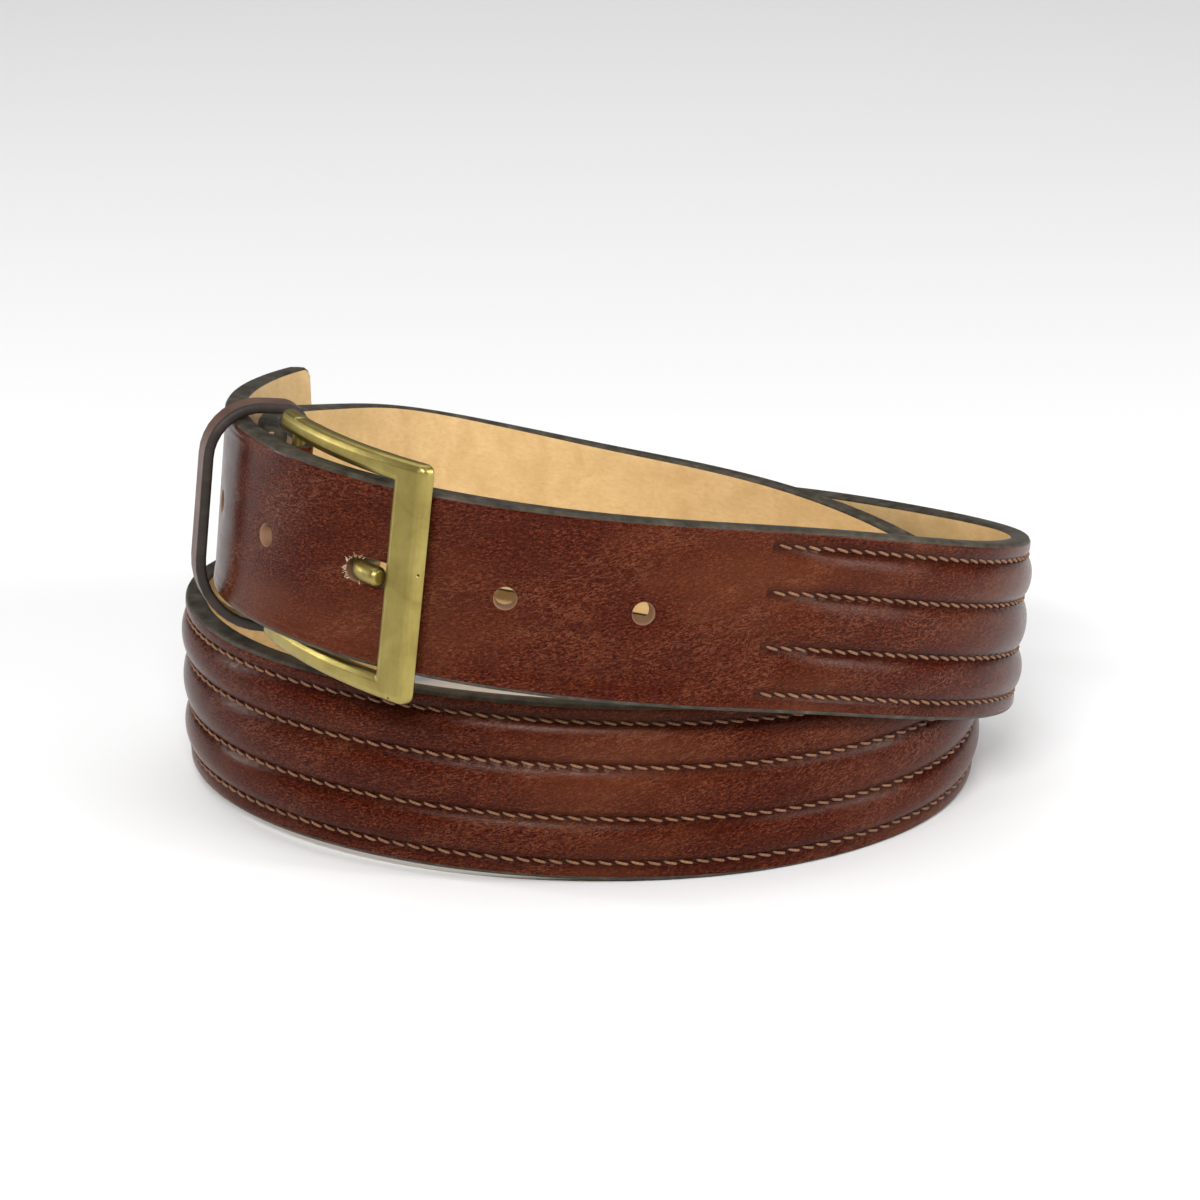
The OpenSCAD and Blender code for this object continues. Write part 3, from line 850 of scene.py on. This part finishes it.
def turned_rings():
    """From where it leaves the face, round the heel bar, to its thinned end on the lining."""
    rings = []
    fold_at = 3.0
    for s in np.linspace(TURN_FROM, fold_at, 5):
        rings.append(turned_ring(lambda w, depth: on_strap(np.full(len(w), s), w, -depth * TURN_T)))
    for angle in np.radians(np.linspace(90, -90, 17)):
        def fold(w, depth):
            r = FOLD_R - depth * TURN_T
            return to_buckle(np.stack([r * math.cos(angle), w, r * math.sin(angle)], -1))
        rings.append(turned_ring(fold))
    for s in np.r_[fold_at, np.arange(2 * fold_at, TURN_TO, 2.0), TURN_TO - 0.6, TURN_TO]:
        t = TURN_T * (0.55 if s == TURN_TO else 1.0)
        rings.append(turned_ring(lambda w, depth: on_strap(np.full(len(w), s), w, (depth - 1) * t - STRAP_T)))
    return np.array(rings)


def turned_end():
    """Thin leather that comes off the face, goes round the heel bar and lies on the lining."""
    grid = turned_rings()
    flat, edge = TURNED_N - 1, len(SIDE_DEPTHS) + 1
    slots = [0] * flat + [1] * edge + [2] * flat + [1] * edge
    w = np.linspace(-TURNED_HALF, TURNED_HALF, TURNED_N)
    side = np.full(len(SIDE_DEPTHS), TURNED_HALF)
    uv = grid_uv(running_length(grid[:, TURNED_N // 2]), np.concatenate([w, side, w[::-1], -side]))
    ob = skin("Turned_end", grid, [FACE, EDGE, CORE], slots, uv, sharp=50)
    cutter = box("slot_cutter", (-SLOT_BACK, -SLOT_W / 2, -2 * FOLD_R), (2 * FOLD_R, SLOT_W / 2, 2 * FOLD_R),
                 to_buckle)
    combine(ob, cutter)
    bpy.data.objects.remove(cutter)
    return own(ob, "strap", "face_leather", "turned_end")


def turned_end_stitches():
    """Two rows of stitches across the turned end's inner leg."""
    ring_n, along_n = 8, 7
    a, x = around(ring_n), np.linspace(-1, 1, along_n)
    points, faces, uvs = [], [], []
    for s0 in END_STITCH_ROWS:
        for i in range(END_STITCH_N):
            w0 = (i - (END_STITCH_N - 1) / 2) * OUTER_ROW * 2 / END_STITCH_N
            r = stitch_thickness(x, END_THREAD_R)
            w = w0 + END_STITCH_HALF * x
            h = -STRAP_T - TURN_T - 0.20 + 0.30 * np.abs(x) ** 3
            ring_s = s0 - r[:, None] * np.cos(a)
            ring_w = np.repeat(w[:, None], ring_n, 1)
            ring_h = h[:, None] + 0.8 * r[:, None] * np.sin(a)
            faces += tube_faces(len(points) * ring_n * along_n, along_n, ring_n)
            points.append(on_strap(ring_s, ring_w, ring_h).reshape(-1, 3))
            uvs.append(np.stack([ring_w, ring_s], -1).reshape(-1, 2))
    ob = make_object("Turned_end_stitches", np.concatenate(points), faces, [THREAD], None,
                     np.concatenate(uvs), 60)
    return own(ob, "strap", "thread", "turned_end_stitches")


# ---------------------------------------------------------------- Buckle, heel bar and prong
def arc_rise(x):
    """Height of the frame's curved middle above the line from heel bar to front bar."""
    return np.sqrt(ARC_R ** 2 - (x - BUCKLE_L / 2) ** 2) - ARC_H


def buckle_outline(g):
    """The frame's outline seen from outside, shrunk by g, from the upper arm's inner corner round."""
    inside = (STRAP_W + ARM_GAP) / 2 + g
    x0, x1, bar = -ARM_END + g, BUCKLE_L + BAR_W / 2 - g, FRONT_INNER + g
    heel_y, front_y, r = inside + HEEL_ARM_W - 2 * g, inside + ARM_W - 2 * g, 1.6 - g
    corners = (quarter(x0 + r, heel_y - r, r, 180) + quarter(x1 - r, front_y - r, r, 90)
               + quarter(x1 - r, r - front_y, r, 0) + quarter(x0 + r, r - heel_y, r, -90))
    return [(x0, inside)] + corners + [(x0, -inside), (bar, -inside), (bar, inside)]


def voxel_soften(ob, size_mm, passes):
    """Melts a sharp solid into a cast one with softly rounded edges."""
    mod = ob.modifiers.new("voxels", "REMESH")
    mod.mode = "VOXEL"
    mod.voxel_size = size_mm * MM
    mod.use_smooth_shade = True
    soft = ob.modifiers.new("soft", "SMOOTH")
    soft.factor = 0.5
    soft.iterations = passes
    apply_modifiers(ob)
    smooth_faces(ob.data)


def brush_along(ob, turn_x):
    """Lays the brushing along the arms, and along the front bar beyond turn_x. In the buckle's axes."""
    p = read(ob.data.vertices, "co", 3) / MM
    bar = p[:, 0] > turn_x
    run = np.where(bar, p[:, 1], p[:, 0])
    side = np.where(bar, p[:, 0], p[:, 1]) + p[:, 2]
    lay_uv(ob.data, np.stack([run, side], 1))


def bend_to_arc(ob):
    """Lifts a flat frame, in the buckle's axes, to the height of its arc."""
    p = read(ob.data.vertices, "co", 3)
    p[:, 2] += arc_rise(p[:, 0] / MM) * MM
    ob.data.vertices.foreach_set("co", p.ravel())
    ob.data.update()


def local_cylinder(name, radius, start, end):
    """A closed cylinder between two points of the buckle's own axes."""
    start, end = np.array(start, float), np.array(end, float)
    d = unit(end - start)
    side = unit(np.cross(d, [0.3, 0.5, 0.8]))
    other = np.cross(d, side)
    a = around(48)[:, None]
    ring = radius * (np.cos(a) * side + np.sin(a) * other)
    return skin(name, np.array([start + ring, end + ring]), [BRASS], sharp=30)


def mirrored(end):
    """The far end of a profile or line, with its mirror image before it."""
    return [(-y, r) for y, r in reversed(end)] + end


def spun(profile, n):
    """Rings round the heel bar's axis for a profile of (place along it, radius) pairs."""
    return np.array([[(r * math.cos(a), y, r * math.sin(a)) for a in around(n)] for y, r in profile])


def buckle_frame():
    """Flat U-shaped frame with softened edges, bent to its arc after it has been cast."""
    t = BAR_T / 2
    levels = [(-t, 0.7), (-t + 0.6, 0.0), (t - 1.1, 0.0), (t - 0.45, 0.35), (t, 1.3)]
    grid = np.array([[(x, y, z) for x, y in buckle_outline(g)] for z, g in levels])
    ob = skin("Buckle_frame", grid[::-1], [BRASS])
    notch_x = FRONT_INNER + NOTCH_DEEP - NOTCH_D / 2
    notch = local_cylinder("notch", NOTCH_D / 2, (notch_x, 0, -BAR_T), (notch_x, 0, BAR_T))
    pin = local_cylinder("pin_hole", PIN_D / 2, (0, -40, 0), (0, 40, 0))
    for tool in (notch, pin):
        combine(ob, tool)
        bpy.data.objects.remove(tool)
    voxel_soften(ob, 0.2, 6)
    brush_along(ob, FRONT_INNER)
    bend_to_arc(ob)
    ob.data.transform(BUCKLE)
    return own(ob, "buckle", "brass", "buckle_frame")


def heel_bar():
    """Pin with slightly domed riveted ends that show on the arms' outer sides."""
    half = (STRAP_W + ARM_GAP) / 2 + HEEL_ARM_W
    end = [(half - 0.1, PIN_D / 2), (half + 0.08, 1.05), (half + 0.16, 0.5)]
    ob = skin("Heel_bar", to_buckle(spun(mirrored(end), 40)), [BRASS], sharp=40)
    return own(ob, "buckle", "brass", "heel_bar")


def smooth_line(points, n):
    """Points along a Catmull-Rom curve through a list of points, n to each stretch."""
    p = np.array(points, float)
    p = np.vstack([2 * p[0] - p[1], p, 2 * p[-1] - p[-2]])
    out = []
    for a, b, c, d in zip(p, p[1:], p[2:], p[3:]):
        for f in np.linspace(0, 1, n, endpoint=False):
            out.append(0.5 * (2 * b + (c - a) * f + (2 * a - 5 * b + 4 * c - d) * f ** 2
                              + (3 * b - a - 3 * c + d) * f ** 3))
    return np.array(out + [p[-2]])


def prong():
    """Bent round prong with a rolled eye on the heel bar and a chamfered tip."""
    line = smooth_line(PRONG_LINE, 8)
    d = unit(np.gradient(line, axis=0))
    left = np.linalg.norm(line - line[-1], axis=1)
    radii = PRONG_D / 2 * np.clip(0.72 + left * 0.35, 0, 1)
    side = np.stack([-d[:, 1], d[:, 0]], 1)
    grid = [[(x + sx * r * math.sin(a), r * math.cos(a), z + sz * r * math.sin(a)) for a in around(32)]
            for (x, z), (sx, sz), r in zip(line, side, radii)]
    shaft = skin("Prong", np.array(grid), [BRASS], sharp=50)
    end = [(EYE_W / 2 - 0.4, FOLD_R - 0.05), (EYE_W / 2, FOLD_R - 0.45)]
    eye = skin("eye", spun(mirrored(end), 48), [BRASS])
    bore = local_cylinder("bore", PIN_D / 2 + PIN_PLAY, (0, -10, 0), (0, 10, 0))
    combine(shaft, eye, "UNION")
    combine(shaft, bore)
    for tool in (eye, bore):
        bpy.data.objects.remove(tool)
    voxel_soften(shaft, 0.14, 3)
    brush_along(shaft, 2 * BUCKLE_L)
    shaft.data.transform(BUCKLE)
    return own(shaft, "prong", "brass", "prong")


# ---------------------------------------------------------------- Keeper
def keeper_path():
    """Middle line of the keeper's leather, as (across, outward) points, bowed out over the strap."""
    half_t = KEEPER_T / 2
    top, low = KEEPER_TOP + half_t, -KEEPER_LOW - half_t
    out, inner = KEEPER_OUT + half_t, -KEEPER_IN - half_t
    top_r, low_r, in_r = KEEPER_TOP_R + half_t, KEEPER_LOW_R + half_t, KEEPER_IN_R + half_t
    p = np.array(quarter(top - top_r, out - top_r, top_r, 90) + quarter(top - in_r, inner + in_r, in_r, 0)
                 + quarter(low + in_r, inner + in_r, in_r, -90)
                 + quarter(low + low_r, out - low_r, low_r, 180))
    full = [p[-1]]
    for q in p:
        start = full[-1]
        steps = max(1, int(np.linalg.norm(q - start)))
        full += [start + (q - start) * k / steps for k in range(1, steps + 1)]
    return np.array(full[1:])


def keeper_loop():
    """Leather loop with rounded painted edges."""
    path = keeper_path()
    d = unit(np.roll(path, -1, 0) - np.roll(path, 1, 0))
    normal = np.stack([-d[:, 1], d[:, 0]], 1)
    half_w, half_t, r, flat_n = KEEPER_W / 2, KEEPER_T / 2, KEEPER_ROUND, 9
    outline = [(y, half_t) for y in np.linspace(-half_w + r, half_w - r, flat_n)]
    outline += [(half_w - r + r * math.sin(a), half_t - r + r * math.cos(a)) for a in ROUND]
    outline += [(half_w - r + r * math.cos(a), -half_t + r - r * math.sin(a)) for a in ROUND]
    outline += [(-y, -t) for y, t in outline]
    edge = 2 * len(ROUND)
    slots = [0] * (flat_n - 1) + [1] * edge + [2] * flat_n + [1] * (edge + 1)
    rings = [[(p[0] + q[0] * t, y, p[1] + q[1] * t) for y, t in outline] for p, q in zip(path, normal)]
    uv = grid_uv(running_length(path), [y for y, _ in outline])
    ob = skin("Keeper_loop", from_axes(axes_at(KEEPER_AT), rings), [KEEPER, KEEPER_EDGE, TAN], slots, uv,
              closed_along=True, sharp=50)
    return own(ob, "keeper", "keeper_leather", "keeper_loop")


def keeper_staple():
    """Flat wire staple that closes the keeper on its hidden inner side."""
    leg = [(3.1, 0.3), (3.5, 0.2), (3.72, -0.1), (3.75, -1.6)]
    surface = -KEEPER_IN - KEEPER_T
    rings = [[(x, 0.5 * math.cos(a), surface - lift + 0.2 * math.sin(a)) for a in around(12)]
             for x, lift in mirrored(leg)]
    ob = skin("Keeper_staple", from_axes(axes_at(KEEPER_AT), rings), [BRASS], sharp=50)
    return own(ob, "keeper", "brass", "keeper_staple")


# ---------------------------------------------------------------- Build it all
strap_layers()
ridge_pads()
for number, row in enumerate(reversed(ROWS), 1):
    stitch_row(row, "Seam_thread_%d" % number, "seam_thread_%d" % number)
    needle_holes(row, "Needle_holes_%d" % number)
turned_end()
turned_end_stitches()
torn_fibres()
buckle_frame()
heel_bar()
prong()
keeper_loop()
keeper_staple()
bpy.data.objects.remove(CUTTER)

# ---------------------------------------------------------------- Floor, lights and camera, in metres
FLOOR_HALF, FLOOR_DROP = 3.0, 0.0002
CAMERA_RISE, CAMERA_AWAY, CAMERA_LENS, SENSOR = math.radians(20.5), 0.865, 128.0, 36.0
CAMERA_TARGET = Vector((COIL_CENTRE[0] * MM, (COIL_CENTRE[1] - 5) * MM, 0.0321))


def floor():
    k, z = FLOOR_HALF, -FLOOR_DROP
    me = bpy.data.meshes.new("Floor")
    me.from_pydata([(-k, -k, z), (k, -k, z), (k, k, z), (-k, k, z)], [], [(0, 1, 2, 3)])
    ob = bpy.data.objects.new("Floor", me)
    bpy.context.scene.collection.objects.link(ob)
    m, t, b = new_material("floor_white")
    b.inputs["Base Color"].default_value = (0.92, 0.92, 0.92, 1)
    b.inputs["Roughness"].default_value = 0.85
    me.materials.append(m)


def aim(ob, place, target):
    ob.location = place
    ob.rotation_euler = (Vector(target) - Vector(place)).to_track_quat("-Z", "Y").to_euler()


def area_light(name, place, target, size, power):
    light = bpy.data.lights.new(name, "AREA")
    light.shape = "RECTANGLE"
    light.size, light.size_y = size
    light.energy = power
    ob = bpy.data.objects.new(name, light)
    bpy.context.scene.collection.objects.link(ob)
    aim(ob, place, target)


def white_world(strength):
    w = bpy.data.worlds.new("World")
    bpy.context.scene.world = w
    w.use_nodes = True
    background = w.node_tree.nodes["Background"]
    background.inputs["Color"].default_value = (1, 1, 1, 1)
    background.inputs["Strength"].default_value = strength


def camera():
    """Straight from the front, looking down on the coil at a low angle."""
    cam = bpy.data.cameras.new("Camera")
    cam.lens, cam.sensor_width = CAMERA_LENS, SENSOR
    ob = bpy.data.objects.new("Camera", cam)
    bpy.context.scene.collection.objects.link(ob)
    away = CAMERA_AWAY * Vector((0, -math.cos(CAMERA_RISE), math.sin(CAMERA_RISE)))
    aim(ob, CAMERA_TARGET + away, CAMERA_TARGET)
    bpy.context.scene.camera = ob


floor()
bpy.context.scene.view_settings.view_transform = "Standard"
white_world(0.12)
area_light("Top", (0.0, 0.50, 1.30), (0, 0.25, 0), (2.0, 1.4), 14)
area_light("Band", (-0.12, -0.62, 0.46), (0, 0, 0.03), (0.34, 0.035), 4.2)
area_light("Key", (-0.50, -0.60, 0.60), (0, 0, 0.04), (0.14, 0.14), 0.6)
area_light("Fill", (0.70, -0.50, 0.45), (0, 0, 0.04), (0.30, 0.30), 2.6)
area_light("Left", (-0.75, 0.16, 0.24), (0, 0, 0.05), (0.08, 0.30), 1.6)
area_light("Right", (0.72, -0.20, 0.26), (0.05, 0, 0.05), (0.10, 0.30), 2.2)
camera()
